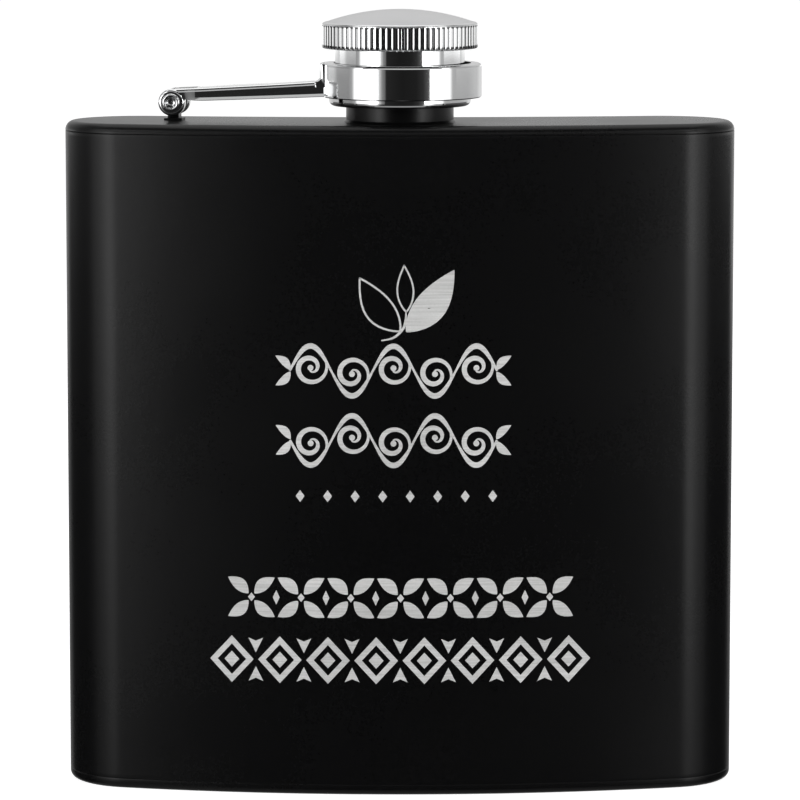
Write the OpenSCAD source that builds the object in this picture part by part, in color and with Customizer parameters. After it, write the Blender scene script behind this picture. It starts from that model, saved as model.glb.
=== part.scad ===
// Pocket hip flask: a curved pressed-steel bottle with a knurled screw cap
// that stays captive on a hinged arm. Millimetres, +Z up, front face towards
// -Y, origin at the middle of the footprint on the resting plane.

/* [Body] */
// Overall width of the body
body_w = 95; // [85:1:110]
// Overall depth of the curved body, front bulge to rear lobes
body_d = 25; // [22:0.5:28]
// Height of the body without the neck
body_h = 94.6; // [80:0.2:120]
// Sheet thickness of wall and plates
sheet = 0.6; // [0.4:0.1:1.0]
// Radius of the narrow ends in plan
end_r = 10.2; // [8:0.1:11]
// Radius of the hollow back in plan
back_r = 215; // [150:5:400]
// Rounding of the top edge
top_round = 1.3; // [0.6:0.1:1.8]
// Rounding of the bottom edge
foot_round = 1.0; // [0.6:0.1:1.8]

/* [Neck] */
// Bore radius of the mouth
mouth_r = 5.0; // [4:0.1:5.2]
// Outside radius of the neck tube under the thread
neck_r = 6.1; // [5.9:0.1:6.3]
// Crest radius of the neck thread
neck_crest_r = 6.6; // [6.4:0.05:6.65]
// Radius of the painted collar at the root of the neck
collar_r = 7.6; // [7.2:0.1:8.0]
// Height of the neck rim above the body
neck_h = 9.4; // [9:0.1:9.6]
// Thread pitch
pitch = 2.0; // [1.5:0.1:2.2]

/* [Cap] */
// Outside radius of the knurled grip
grip_r = 11.0; // [10.6:0.1:11.4]
// Number of flutes round the grip
flutes = 78; // [60:1:90]
// Outside radius of the plain skirt
skirt_r = 9.15; // [9.0:0.05:9.2]
// Outside radius of the retaining flange on the skirt
flange_r = 10.0; // [9.8:0.1:10.2]
// Height of the domed top above the grip
dome_h = 1.85; // [1:0.05:2.5]

/* [Arm] */
// Distance of the hinge pin to the left of the neck axis
hinge_x = 32; // [30:0.5:34]
// Distance of the hinge pin behind the neck axis
hinge_y = 4.0; // [0:0.5:4.5]
// Height of the hinge pin above the body
hinge_h = 2.6; // [2.55:0.05:3.0]
// Radius of the hinge pin
pin_r = 0.95; // [0.8:0.05:1.0]
// Outside radius of the ring that holds the cap
ring_r = 11.2; // [11.15:0.05:11.6]
// How far the ring sits off the cap axis, away from the hinge
ring_off = 0.35; // [0:0.05:0.4]

/* [Hidden] */
black = "#1c1c1d";
chrome = "#cfd1d3";
steel = "#b4b6b8";

// plan of the body: convex front arc, round ends, hollow rear arc
yf = -body_d/2;                       // front of the body
end_x = body_w/2 - end_r;             // centres of the end arcs
end_c = body_d - end_r;
front_r = (end_c*end_c + end_x*end_x - end_r*end_r)/(2*(end_c - end_r));
back_c = end_c + sqrt(pow(back_r + end_r, 2) - end_x*end_x);
mid_d = back_c - back_r;              // depth of the body on its middle line
neck_y = yf + mid_d/2;                // the neck stands in the middle of the plate
seam_t = body_h - 1.4;                // wall meets top plate
seam_b = 1.5;                         // wall meets bottom plate

neck_top = body_h + neck_h;
ring_z0 = body_h + 3.5;
ring_z1 = body_h + 8.3;
lip_r = skirt_r + 0.55;
flange_z0 = body_h + 2.3;
flange_z1 = body_h + 5.8;
grip_z0 = body_h + 10.35;
grip_z1 = body_h + 14.0;
insert_bore = 7.6;
insert_crest = 7.15;
hinge_a = atan(hinge_y/hinge_x);      // swing of the arm off the long axis
hinge_l = sqrt(hinge_x*hinge_x + hinge_y*hinge_y);
pin_z = body_h + hinge_h;

function arc(cx, cz, r, a0, a1, n) =
    [for (i = [0:n]) let (a = a0 + (a1 - a0)*i/n) [cx + r*cos(a), cz + r*sin(a)]];

// half section of a disc of radius r between z0 and z1, its edges rounded by rt and rb
function disc_pts(r, z0, z1, rt, rb) = concat([[0, z0]],
    rb > 0 ? arc(r - rb, z0 + rb, rb, -90, 0, 6) : [[r, z0]],
    rt > 0 ? arc(r - rt, z1 - rt, rt, 0, 90, 6) : [[r, z1]],
    [[0, z1]]);
// the same for the hollow back, whose edges flare outwards
function hollow_pts(r, z0, z1, rt, rb) = concat([[0, z0 - 1], [r + rb, z0 - 1]],
    rb > 0 ? arc(r + rb, z0 + rb, rb, 270, 180, 6) : [],
    rt > 0 ? arc(r + rt, z1 - rt, rt, 180, 90, 6) : [],
    [[r + rt, z1 + 1], [0, z1 + 1]]);

function unit(v) = v/norm(v);
// solid of the body's plan, drawn in by t, between z0 and z1
module kidney(t, z0, z1, rt = 0, rb = 0) {
    c = [end_x, yf + end_c];
    f = unit(c - [0, yf + front_r]);
    b = unit([0, yf + back_c] - c);
    m = [-1, 1];
    p = c + 22*f;
    q = c + 22*b;
    intersection() {
        difference() {
            translate([0, yf + front_r, 0])
                rotate_extrude($fn = 360) polygon(disc_pts(front_r - t, z0, z1, rt, rb));
            translate([0, yf + back_c, 0])
                rotate_extrude($fn = 360) polygon(hollow_pts(back_r + t, z0, z1, rt, rb));
        }
        translate([0, 0, z0 - 2]) linear_extrude(z1 - z0 + 4)
            polygon([c, p, [0, yf - 18], [-p[0], p[1]], [-c[0], c[1]],
                     [-q[0], q[1]], [0, yf + mid_d + 18], q]);
    }
    for (s = [-1, 1]) translate([s*end_x, yf + end_c, 0])
        rotate_extrude($fn = 96) polygon(disc_pts(end_r - t, z0, z1, rt, rb));
}

module body_wrap() {
    color(black) difference() {
        kidney(0, seam_b, seam_t);
        kidney(sheet, seam_b - 1, seam_t + 1);
    }
}

module top_plate() {
    color(black) difference() {
        kidney(0, seam_t, body_h, rt = top_round);
        kidney(sheet, seam_t - 1, body_h - sheet, rt = max(0, top_round - sheet));
        translate([0, neck_y, seam_t - 1]) cylinder(r = neck_r, h = 4, $fn = 96);
    }
}

module bottom_plate() {
    color(black) difference() {
        kidney(0, 0, seam_b, rb = foot_round);
        kidney(sheet, sheet, seam_b + 1, rb = max(0, foot_round - sheet));
    }
}

// spun neck: a tube with a foot flange under the plate
module neck_tube() {
    color(steel) translate([0, neck_y, 0]) rotate_extrude($fn = 96)
        polygon(concat(
            [[mouth_r, body_h - 1.4], [neck_r + 1.4, body_h - 1.4],
             [neck_r + 1.4, body_h - sheet], [neck_r, body_h - sheet]],
            arc(neck_r - 0.35, neck_top - 0.35, 0.35, 0, 90, 4),
            arc(mouth_r + 0.35, neck_top - 0.35, 0.35, 90, 180, 4)));
}

// helical ridge between radii r0 (root) and r1 (crest); both ends run out
module ridge(r0, r1, z0, turns, w) {
    n = 40;
    k = ceil(turns*n);
    function fade(i) = min(1, min(i, k - i)/7);
    rings = [for (i = [0:k]) let (a = 360*i/n, z = z0 + pitch*i/n,
        e = r0 + (r1 - r0)*max(0.02, fade(i)), h = w*(0.35 + 0.65*fade(i)))
        [for (p = [[r0, -h/2], [e, -h*0.18], [e, h*0.18], [r0, h/2]])
            [p[0]*cos(a), p[0]*sin(a), z + p[1]]]];
    pts = [for (r = rings) for (p = r) p];
    flip = r1 < r0;
    side = [for (i = [0:k - 1]) for (j = [0:3]) let (a = 4*i + j, b = 4*i + (j + 1)%4)
        each [[a, b, b + 4], [a, b + 4, a + 4]]];
    faces = concat(side, [[3, 2, 1], [3, 1, 0]],
        [[4*k, 4*k + 1, 4*k + 2], [4*k, 4*k + 2, 4*k + 3]]);
    polyhedron(pts, flip ? faces : [for (f = faces) [f[2], f[1], f[0]]], convexity = 10);
}

module neck_thread() {
    color(steel) translate([0, neck_y, 0]) rotate(200)
        ridge(neck_r - 0.05, neck_crest_r, body_h + 5.6, 1.6, 1.0);
}

// painted collar round the root of the neck
module neck_collar() {
    color(black) translate([0, neck_y, 0]) rotate_extrude($fn = 96)
        polygon(concat([[neck_r, body_h], [collar_r + 0.35, body_h], [collar_r, body_h + 0.35]],
            arc(collar_r - 0.4, body_h + 3.1, 0.4, 0, 90, 4), [[neck_r, body_h + 3.5]]));
}

// things on the hinge: x runs along the arm, y along the pin
module at_hinge() {
    translate([-hinge_x, neck_y + hinge_y, pin_z]) rotate(-hinge_a) children();
}
// bar along y of radius r, between y0 and y1
module pin_bar(r, y0, y1) {
    translate([0, y1, 0]) rotate([90, 0, 0]) cylinder(r = r, h = y1 - y0, $fn = 64);
}

module hinge_lug() {
    color(black) at_hinge() difference() {
        union() {
            pin_bar(1.6, -1.2, 1.2);
            translate([-0.8, -1.2, -hinge_h]) cube([1.6, 2.4, hinge_h - 0.7]);
            translate([-1.3, -1.45, -hinge_h]) cube([2.6, 2.9, 0.3]);
        }
        pin_bar(pin_r + 0.05, -2, 2);
    }
}

// tubular rivet with a rolled head at each end
module hinge_pin() {
    color(chrome) at_hinge() difference() {
        union() {
            pin_bar(pin_r, -3.0, 3.0);
            for (s = [-1, 1]) rotate([s*90, 0, 0]) rotate_extrude($fn = 64)
                polygon([[0, 2.95], [1.25, 2.95], [1.35, 3.05], [1.28, 3.2], [1.0, 3.32], [0, 3.32]]);
        }
        for (s = [-1, 1]) rotate([s*90, 0, 0]) translate([0, 0, 1.6]) cylinder(r = 0.6, h = 3, $fn = 48);
    }
}

// pressed channel: web on top, a flange down each side, two knuckles at the
// pin, and at the other end a tab that turns up against the ring
ring_c = hinge_l + ring_off;          // ring centre along the arm
tab_y = 4.0;                          // half width of the tab
tab_z = ring_z1 - pin_z - 0.05;       // top of the tab above the pin
arm_end = ring_c - 9.8;
module arm_plan(t) {
    polygon([[-0.2, -2.9 + t], [arm_end - 6, -2.9 + t], [arm_end - 2, -tab_y + t], [arm_end, -tab_y + t],
             [arm_end, tab_y - t], [arm_end - 2, tab_y - t], [arm_end - 6, 2.9 - t], [-0.2, 2.9 - t]]);
}
module arm() {
    color(chrome) at_hinge() difference() {
        union() {
            difference() {
                intersection() {
                    translate([0, 6, 0]) rotate([90, 0, 0]) linear_extrude(12)
                        polygon([[0, 1.9], [3, 1.95], [arm_end, 2.85], [arm_end, 1.15], [3, 0.45], [0, -0.2]]);
                    translate([0, 0, -2]) linear_extrude(6) arm_plan(0);
                }
                // inside of the channel
                intersection() {
                    translate([0, 6, 0]) rotate([90, 0, 0]) linear_extrude(12)
                        polygon([[-1, 1.4], [3, 1.45], [arm_end + 1, 2.39], [arm_end + 1, 0], [3, -1], [-1, -1]]);
                    translate([0, 0, -3]) linear_extrude(6) arm_plan(0.5);
                }
                // slot that clears the lug when the arm is thrown back
                translate([-3, -1.4, -3]) cube([6.4, 2.8, 6]);
            }
            pin_bar(1.9, -2.9, -1.4);
            pin_bar(1.9, 1.4, 2.9);
            // tab against the ring, with a fillet up from the web
            intersection() {
                translate([ring_c, 0, 0]) rotate_extrude($fn = 128) polygon(concat(
                    [[ring_r - 1, 2.3], [ring_r + 1.25, 2.3], [ring_r + 1.25, 2.75]],
                    arc(ring_r + 1.25, 3.55, 0.8, 270, 180, 5),
                    [[ring_r + 0.45, tab_z - 0.2], [ring_r + 0.25, tab_z], [ring_r - 1, tab_z]]));
                translate([0, -tab_y, 0]) cube([ring_c, 2*tab_y, 10]);
            }
        }
        pin_bar(pin_r + 0.02, -4, 4);
        translate([ring_c, 0, -10]) cylinder(r = ring_r, h = 20, $fn = 128);
    }
}

// ring: a shallow cup with its rim turned in over the skirt
module cap_ring() {
    color(chrome) at_hinge() translate([ring_c, 0, -pin_z]) rotate_extrude($fn = 128)
        polygon(concat(
            [[ring_r - 0.6, ring_z0], [ring_r - 0.15, ring_z0], [ring_r, ring_z0 + 0.15]],
            arc(ring_r - 0.4, ring_z1 - 0.4, 0.4, 0, 90, 4),
            [[lip_r, ring_z1], [lip_r, ring_z1 - 0.6], [ring_r - 0.6, ring_z1 - 0.6]]));
}

// fluted grip with a domed top
module cap_shell() {
    ro = grip_r;
    top = grip_z1 + dome_h;
    dome_r = (pow(grip_r - 0.4, 2) + dome_h*dome_h)/(2*dome_h);
    a1 = asin((grip_r - 0.4)/dome_r);
    inner_r = dome_r - 0.6;
    a2 = asin(9.2/inner_r);
    color(chrome) translate([0, neck_y, 0]) difference() {
        intersection() {
            rotate_extrude($fn = 128) polygon(concat(
                [[0, grip_z0], [grip_r - 0.25, grip_z0], [grip_r, grip_z0 + 0.25],
                 [grip_r, grip_z1 - 0.3], [grip_r - 0.12, grip_z1 - 0.08]],
                [for (i = [0:8]) let (a = a1*(1 - i/8)) [dome_r*sin(a), top - dome_r + dome_r*cos(a)]]));
            union() {
                translate([0, 0, grip_z0 - 1]) linear_extrude(grip_z1 - 0.45 - grip_z0 + 1)
                    polygon([for (i = [0:flutes - 1]) for (p = [[0, -0.32], [0.16, -0.14], [0.16, 0.14], [0, 0.32]])
                        let (a = 360*i/flutes + p[1]*57.3*2*PI*ro/flutes/ro, r = ro - 0.36 + 2.2*p[0])
                        [r*cos(a), r*sin(a)]]);
                translate([0, 0, grip_z1 - 0.46]) cylinder(r = ro - 0.06, h = dome_h + 1, $fn = 128);
            }
        }
        // hollow over the insert, and the seat of the skirt
        rotate_extrude($fn = 128) polygon(concat([[0, grip_z0 + 0.6]],
            [[10.1, grip_z0 + 0.6], [10.1, grip_z1 - 0.8]],
            [for (i = [0:5]) let (a = a2*(1 - i/5)) [inner_r*sin(a), top - dome_r + inner_r*cos(a)]]));
        translate([0, 0, grip_z0 - 1]) cylinder(r = skirt_r, h = 2, $fn = 96);
    }
}

// plain sleeve under the grip, stepped out into the retaining flange
module cap_skirt() {
    color(chrome) translate([0, neck_y, 0]) rotate_extrude($fn = 128)
        polygon(concat(
            [[skirt_r - 0.5, flange_z0 + 0.2], [skirt_r - 0.3, flange_z0]],
            arc(flange_r - 0.7, flange_z0 + 0.7, 0.7, -90, 0, 5),
            [[flange_r, flange_z1 - 0.3], [flange_r - 0.3, flange_z1], [skirt_r, flange_z1],
             [skirt_r, grip_z1 - 1.0], [skirt_r - 0.5, grip_z1 - 1.0]]));
}

// moulded core that carries the thread
module cap_insert() {
    color("#e9e7e0") translate([0, neck_y, 0]) rotate_extrude($fn = 96)
        polygon([[insert_bore + 0.25, flange_z0 + 1.2], [skirt_r - 0.5, flange_z0 + 1.2],
                 [skirt_r - 0.5, grip_z1 - 1.0], [0, grip_z1 - 1.0],
                 [0, neck_top + 1.15], [insert_bore, neck_top + 1.15], [insert_bore, flange_z0 + 1.45]]);
}

module insert_thread() {
    color("#e9e7e0") translate([0, neck_y, 0]) rotate(20)
        ridge(insert_bore + 0.05, insert_crest, body_h + 5.6, 1.1, 0.9);
}

// soft disc that seals on the neck rim
module cap_seal() {
    color("#d9dcd8") translate([0, neck_y, 0]) rotate_extrude($fn = 96)
        polygon([[0, neck_top + 0.1], [6.9, neck_top + 0.1], [7.1, neck_top + 0.3],
                 [7.1, neck_top + 0.95], [6.9, neck_top + 1.15], [0, neck_top + 1.15]]);
}

body_wrap();
top_plate();
bottom_plate();
neck_tube();
neck_thread();
neck_collar();
hinge_lug();
hinge_pin();
arm();
cap_ring();
cap_shell();
cap_skirt();
cap_insert();
insert_thread();
cap_seal();
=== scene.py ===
import bpy, math, random
from mathutils import Vector, Matrix
from mathutils.geometry import tessellate_polygon


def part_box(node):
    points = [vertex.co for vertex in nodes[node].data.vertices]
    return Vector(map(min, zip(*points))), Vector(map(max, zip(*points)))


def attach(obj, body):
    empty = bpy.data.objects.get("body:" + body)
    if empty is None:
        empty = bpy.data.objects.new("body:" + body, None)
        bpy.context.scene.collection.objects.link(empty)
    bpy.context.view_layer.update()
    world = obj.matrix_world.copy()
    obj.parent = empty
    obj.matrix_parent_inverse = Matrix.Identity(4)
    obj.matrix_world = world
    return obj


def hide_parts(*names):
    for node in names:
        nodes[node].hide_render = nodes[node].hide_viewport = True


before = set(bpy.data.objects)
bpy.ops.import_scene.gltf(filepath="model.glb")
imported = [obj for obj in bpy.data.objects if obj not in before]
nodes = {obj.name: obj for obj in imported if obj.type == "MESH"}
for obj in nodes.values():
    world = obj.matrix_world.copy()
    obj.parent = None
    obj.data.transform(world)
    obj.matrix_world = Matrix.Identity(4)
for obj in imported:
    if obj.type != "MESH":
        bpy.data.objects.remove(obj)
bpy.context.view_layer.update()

MM = 0.001
scene = bpy.context.scene
rec_scale = 1.0

# ------------------------------------------------------------------ frame
# dimensions are read back from the frame, in millimetres
def bx(n):
    lo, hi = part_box(n)
    return [v / MM for v in lo], [v / MM for v in hi]


(_, _, _), (_, _, BODY_H) = bx("top_plate")
shell_lo, shell_hi = bx("cap_shell")
NECK_X = (shell_lo[0] + shell_hi[0]) / 2
NECK_Y = (shell_lo[1] + shell_hi[1]) / 2
body_lo, body_hi = bx("body_wrap")
YF = body_lo[1]                       # front of the body
BODY_W = body_hi[0] - body_lo[0]
END_R, BACK_R, BODY_D = 10.2, 215.0, 25.0
END_X, END_C = BODY_W / 2 - END_R, BODY_D - END_R
FRONT_R = (END_C**2 + END_X**2 - END_R**2) / (2 * (END_C - END_R))


# ------------------------------------------------------------------ small helpers
def new_mesh(name, verts, faces, smooth=True, mats=(), face_mats=None):
    me = bpy.data.meshes.new(name)
    me.from_pydata([Vector(v) * MM for v in verts], [], faces)
    me.validate()
    me.update()
    ob = bpy.data.objects.new(name, me)
    scene.collection.objects.link(ob)
    for m in mats:
        me.materials.append(m)
    if face_mats:
        for p, i in zip(me.polygons, face_mats):
            p.material_index = i
    if smooth:
        for p in me.polygons:
            p.use_smooth = True
    return ob


def outward(ob):
    """Turns every face of a closed mesh outwards."""
    import bmesh
    bm = bmesh.new()
    bm.from_mesh(ob.data)
    bmesh.ops.recalc_face_normals(bm, faces=bm.faces)
    if bm.calc_volume(signed=True) < 0:
        bmesh.ops.reverse_faces(bm, faces=bm.faces)
    bm.to_mesh(ob.data)
    bm.free()


def by_angle(ob, deg=35):
    """Shade smooth with sharp edges kept at steps steeper than deg."""
    me = ob.data
    for p in me.polygons:
        p.use_smooth = True
    import bmesh
    bm = bmesh.new()
    bm.from_mesh(me)
    for e in bm.edges:
        if len(e.link_faces) == 2 and e.calc_face_angle(0) > math.radians(deg):
            e.smooth = False
    bm.to_mesh(me)
    bm.free()


def set_mat(ob, m):
    ob.data.materials.clear()
    ob.data.materials.append(m)
    for p in ob.data.polygons:
        p.material_index = 0


# ------------------------------------------------------------------ materials
class Mat:
    def __init__(self, name, color, rough, metal=0.0, **kw):
        self.m = bpy.data.materials.new(name)
        self.m.use_nodes = True
        self.t = self.m.node_tree
        self.b = self.t.nodes["Principled BSDF"]
        self.b.inputs["Base Color"].default_value = (*color, 1)
        self.b.inputs["Roughness"].default_value = rough
        self.b.inputs["Metallic"].default_value = metal
        for k, v in kw.items():
            self.b.inputs[k].default_value = v
        self.co = self.t.nodes.new("ShaderNodeTexCoord").outputs["Object"]

    def n(self, kind, **kw):
        nd = self.t.nodes.new(kind)
        for k, v in kw.items():
            setattr(nd, k, v)
        return nd

    def link(self, a, b):
        self.t.links.new(a, b)

    def scaled(self, sx, sy, sz, src=None, loc=(0, 0, 0)):
        mp = self.n("ShaderNodeMapping")
        mp.inputs["Scale"].default_value = (sx, sy, sz)
        mp.inputs["Location"].default_value = loc
        self.link(src or self.co, mp.inputs["Vector"])
        return mp.outputs["Vector"]

    def noise(self, scale=1.0, detail=2.0, rough=0.5, vec=None):
        nz = self.n("ShaderNodeTexNoise")
        nz.inputs["Scale"].default_value = scale
        nz.inputs["Detail"].default_value = detail
        nz.inputs["Roughness"].default_value = rough
        self.link(vec or self.co, nz.inputs["Vector"])
        return nz.outputs["Fac"]

    def ramp(self, fac, lo, hi, a, b):
        """Maps fac between lo and hi to a..b."""
        r = self.n("ShaderNodeMapRange")
        r.inputs["From Min"].default_value = lo
        r.inputs["From Max"].default_value = hi
        r.inputs["To Min"].default_value = a
        r.inputs["To Max"].default_value = b
        self.link(fac, r.inputs["Value"])
        return r.outputs["Result"]

    def mix_color(self, fac, a, b):
        mx = self.n("ShaderNodeMix", data_type="RGBA")
        mx.inputs["A"].default_value = (*a, 1)
        mx.inputs["B"].default_value = (*b, 1)
        self.link(fac, mx.inputs["Factor"])
        return mx.outputs["Result"]

    def rough(self, out):
        self.link(out, self.b.inputs["Roughness"])

    def color(self, out):
        self.link(out, self.b.inputs["Base Color"])

    def add(self, a, b, w=1.0):
        md = self.n("ShaderNodeMath", operation="MULTIPLY_ADD")
        self.link(b, md.inputs[0])
        md.inputs[1].default_value = w
        self.link(a, md.inputs[2])
        return md.outputs[0]

    def bump(self, height, dist, strength=1.0):
        bp = self.n("ShaderNodeBump")
        bp.inputs["Strength"].default_value = strength
        bp.inputs["Distance"].default_value = dist
        self.link(height, bp.inputs["Height"])
        self.link(bp.outputs["Normal"], self.b.inputs["Normal"])

    def radius(self, cx, cy):
        """Distance from the vertical axis through (cx, cy), in metres."""
        sub = self.n("ShaderNodeVectorMath", operation="SUBTRACT")
        self.link(self.co, sub.inputs[0])
        sub.inputs[1].default_value = (cx, cy, 0)
        mul = self.n("ShaderNodeVectorMath", operation="MULTIPLY")
        self.link(sub.outputs[0], mul.inputs[0])
        mul.inputs[1].default_value = (1, 1, 0)
        ln = self.n("ShaderNodeVectorMath", operation="LENGTH")
        self.link(mul.outputs[0], ln.inputs[0])
        return ln.outputs["Value"]

    def rings(self, cx, cy, scale, detail=2.0):
        """Noise that depends on the distance from the axis only, as turning marks do."""
        cb = self.n("ShaderNodeCombineXYZ")
        self.link(self.radius(cx, cy), cb.inputs["X"])
        return self.noise(scale, detail, 0.6, cb.outputs["Vector"])


def black_coat():
    k = Mat("black_coat", (0.0019, 0.0019, 0.002), 0.3)
    k.b.inputs["IOR"].default_value = 1.34
    grain = k.noise(2300, 3.0, 0.55)
    peel = k.noise(420, 2.0, 0.5)
    k.bump(k.add(grain, peel, 1.4), 0.000011, 0.55)
    cloud = k.noise(38, 3.0, 0.5)
    k.rough(k.ramp(k.add(cloud, grain, 0.35), 0.35, 1.0, 0.23, 0.33))
    k.color(k.mix_color(k.ramp(grain, 0.35, 0.7, 0, 1), (0.0014, 0.0014, 0.0015), (0.0024, 0.0024, 0.0026)))
    return k.m


def chrome(name="chrome", base=(0.83, 0.835, 0.84), r0=0.045, r1=0.10):
    k = Mat(name, base, 0.06, 1.0)
    smudge = k.noise(190, 3.0, 0.55)
    hair = k.noise(1.0, 3.0, 0.6, k.scaled(900, 900, 9000))
    k.rough(k.ramp(k.add(smudge, hair, 0.4), 0.45, 1.0, r0, r1))
    wave = k.noise(260, 1.5, 0.5)
    k.bump(k.add(wave, hair, 0.12), 0.0000035, 0.5)
    return k.m


def brushed_dome():
    k = Mat("chrome_dome", (0.73, 0.73, 0.735), 0.27, 1.0)
    ring = k.rings(NECK_X * MM, NECK_Y * MM, 4200, 2.0)
    fine = k.noise(1.0, 2.0, 0.5, k.scaled(500, 500, 500))
    k.rough(k.ramp(k.add(ring, fine, 0.4), 0.4, 1.0, 0.27, 0.37))
    k.bump(ring, 0.0000022, 0.35)
    return k.m


def turned_steel():
    k = Mat("bare_steel", (0.60, 0.595, 0.58), 0.24, 1.0)
    ring = k.noise(1.0, 3.0, 0.6, k.scaled(150, 150, 14000))
    k.rough(k.ramp(ring, 0.3, 0.75, 0.17, 0.33))
    k.bump(ring, 0.000006, 0.5)
    return k.m


def moulded(name, color, color2, r0, r1, sss=0.12):
    k = Mat(name, color, 0.4)
    k.b.inputs["Subsurface Weight"].default_value = sss
    k.b.inputs["Subsurface Radius"].default_value = (0.0012, 0.0011, 0.0009)
    grain = k.noise(2600, 2.0, 0.5)
    cloud = k.noise(160, 2.0, 0.5)
    k.rough(k.ramp(k.add(cloud, grain, 0.4), 0.4, 1.0, r0, r1))
    k.color(k.mix_color(k.ramp(cloud, 0.35, 0.65, 0, 1), color, color2))
    k.bump(grain, 0.000006, 0.4)
    return k.m


def etched():
    """Laser-marked steel: a fine raster of lines through the coat."""
    k = Mat("etched_steel", (0.5, 0.5, 0.495), 0.5, 0.25)
    line = k.noise(1.0, 1.0, 0.5, k.scaled(120, 120, 7000))
    frost = k.noise(4200, 2.0, 0.6)
    sweep = k.noise(55, 1.5, 0.5)
    shade = k.add(k.add(line, frost, 0.4), sweep, 0.9)
    k.color(k.mix_color(k.ramp(shade, 0.75, 1.5, 0, 1), (0.36, 0.36, 0.355), (0.58, 0.58, 0.575)))
    k.rough(k.ramp(frost, 0.3, 0.7, 0.42, 0.56))
    k.bump(k.add(line, frost, 0.6), 0.000006, 0.35)
    return k.m


M_BLACK = black_coat()
M_CHROME = chrome()
M_DOME = brushed_dome()
M_STEEL = turned_steel()
M_PLASTIC = moulded("white_plastic", (0.80, 0.79, 0.75), (0.84, 0.83, 0.79), 0.3, 0.42)
M_SEAL = moulded("silicone", (0.66, 0.69, 0.67), (0.72, 0.74, 0.72), 0.36, 0.5, 0.3)
M_ETCH = etched()

for n, m in (("body_wrap", M_BLACK), ("top_plate", M_BLACK), ("bottom_plate", M_BLACK),
             ("neck_tube", M_STEEL), ("neck_thread", M_STEEL), ("neck_collar", M_BLACK),
             ("hinge_lug", M_BLACK), ("hinge_pin", M_CHROME), ("arm", M_CHROME), ("cap_ring", M_CHROME),
             ("cap_skirt", M_CHROME), ("cap_insert", M_PLASTIC), ("insert_thread", M_PLASTIC),
             ("cap_seal", M_SEAL), ("cap_shell", M_CHROME)):
    set_mat(nodes[n], m)

lug = nodes["hinge_lug"]
wl = lug.modifiers.new("weld", "WELD")
wl.merge_threshold = 0.000002
bv = lug.modifiers.new("ease", "BEVEL")
bv.width = 0.1 * MM
bv.segments = 3
bv.limit_method = "ANGLE"
bv.angle_limit = math.radians(50)


# ------------------------------------------------------------------ the coated shell
# the kidney outline is four tangent arcs, so every inset of it is exact
TF = math.asin(END_X / (FRONT_R - END_R))
TB = math.asin(END_X / (BACK_R + END_R))
END_Y = YF + FRONT_R - (FRONT_R - END_R) * math.cos(TF)
BACK_C = END_Y + (BACK_R + END_R) * math.cos(TB)


def outline(d):
    """Closed run of (x, y) points round the body, drawn in by d."""
    out = []
    r = FRONT_R - d
    for i in range(120):
        a = -TF + 2 * TF * i / 120
        out.append((r * math.sin(a), YF + FRONT_R - r * math.cos(a)))
    r = END_R - d
    a0, a1 = -math.pi / 2 + TF, math.pi / 2 + TB
    for i in range(56):
        a = a0 + (a1 - a0) * i / 56
        out.append((END_X + r * math.cos(a), END_Y + r * math.sin(a)))
    r = BACK_R + d
    for i in range(100):
        a = TB - 2 * TB * i / 100
        out.append((r * math.sin(a), BACK_C - r * math.cos(a)))
    r = END_R - d
    for i in range(56):
        a = math.pi - a1 + (a1 - a0) * i / 56
        out.append((-END_X + r * math.cos(a), END_Y + r * math.sin(a)))
    return out


def skin(name, profile, caps=()):
    """Lofts the outline along a closed profile of (inset, z). caps lists (row, hole radius): between that row and
    the next the profile is filled flat instead of walled, with a round hole for the neck."""
    verts, faces = [], []
    rows_ = []
    for d, z in profile:
        ids = []
        for x, y in outline(d):
            ids.append(len(verts))
            verts.append((x, y, z))
        rows_.append(ids)
    m = len(rows_[0])
    skip = [c[0] for c in caps]
    for i in range(len(rows_)):
        if i in skip:
            continue
        a, b = rows_[i], rows_[(i + 1) % len(rows_)]
        for j in range(m):
            q = (j + 1) % m
            faces.append([a[j], a[q], b[q], b[j]])
    for row, hole in caps:
        rims = []
        for ids, up in ((rows_[row], 1), (rows_[(row + 1) % len(rows_)], -1)):
            lp = [verts[k] for k in ids]
            loops = [lp]
            idx = list(ids)
            if hole:
                z = lp[0][2]
                c = [(NECK_X + hole * math.cos(2 * math.pi * k / 96), NECK_Y + hole * math.sin(2 * math.pi * k / 96), z) for k in range(96)]
                first = len(verts)
                verts += c
                idx += list(range(first, first + 96))
                rims.append(list(range(first, first + 96)))
                loops.append(c)
            for t in tessellate_polygon([[Vector((x, y, 0)) for x, y, _ in l] for l in loops]):
                faces.append([idx[k] for k in t])
        if hole:
            a, b = rims
            for j in range(96):
                q = (j + 1) % 96
                faces.append([a[j], a[q], b[q], b[j]])
    ob = new_mesh(name, verts, faces, True, (M_BLACK,))
    import bmesh
    bm = bmesh.new()
    bm.from_mesh(ob.data)
    bmesh.ops.dissolve_degenerate(bm, dist=1e-8, edges=bm.edges)
    bmesh.ops.recalc_face_normals(bm, faces=bm.faces)
    bm.to_mesh(ob.data)
    bm.free()
    by_angle(ob, 32)
    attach(ob, "flask")
    return ob


SHEET, TR, BR, E = 0.6, 1.3, 1.0, 0.09
ST, SB = BODY_H - 1.4, 1.5


def quarter(n=6):
    return [math.pi / 2 * i / n for i in range(n + 1)]


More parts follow.
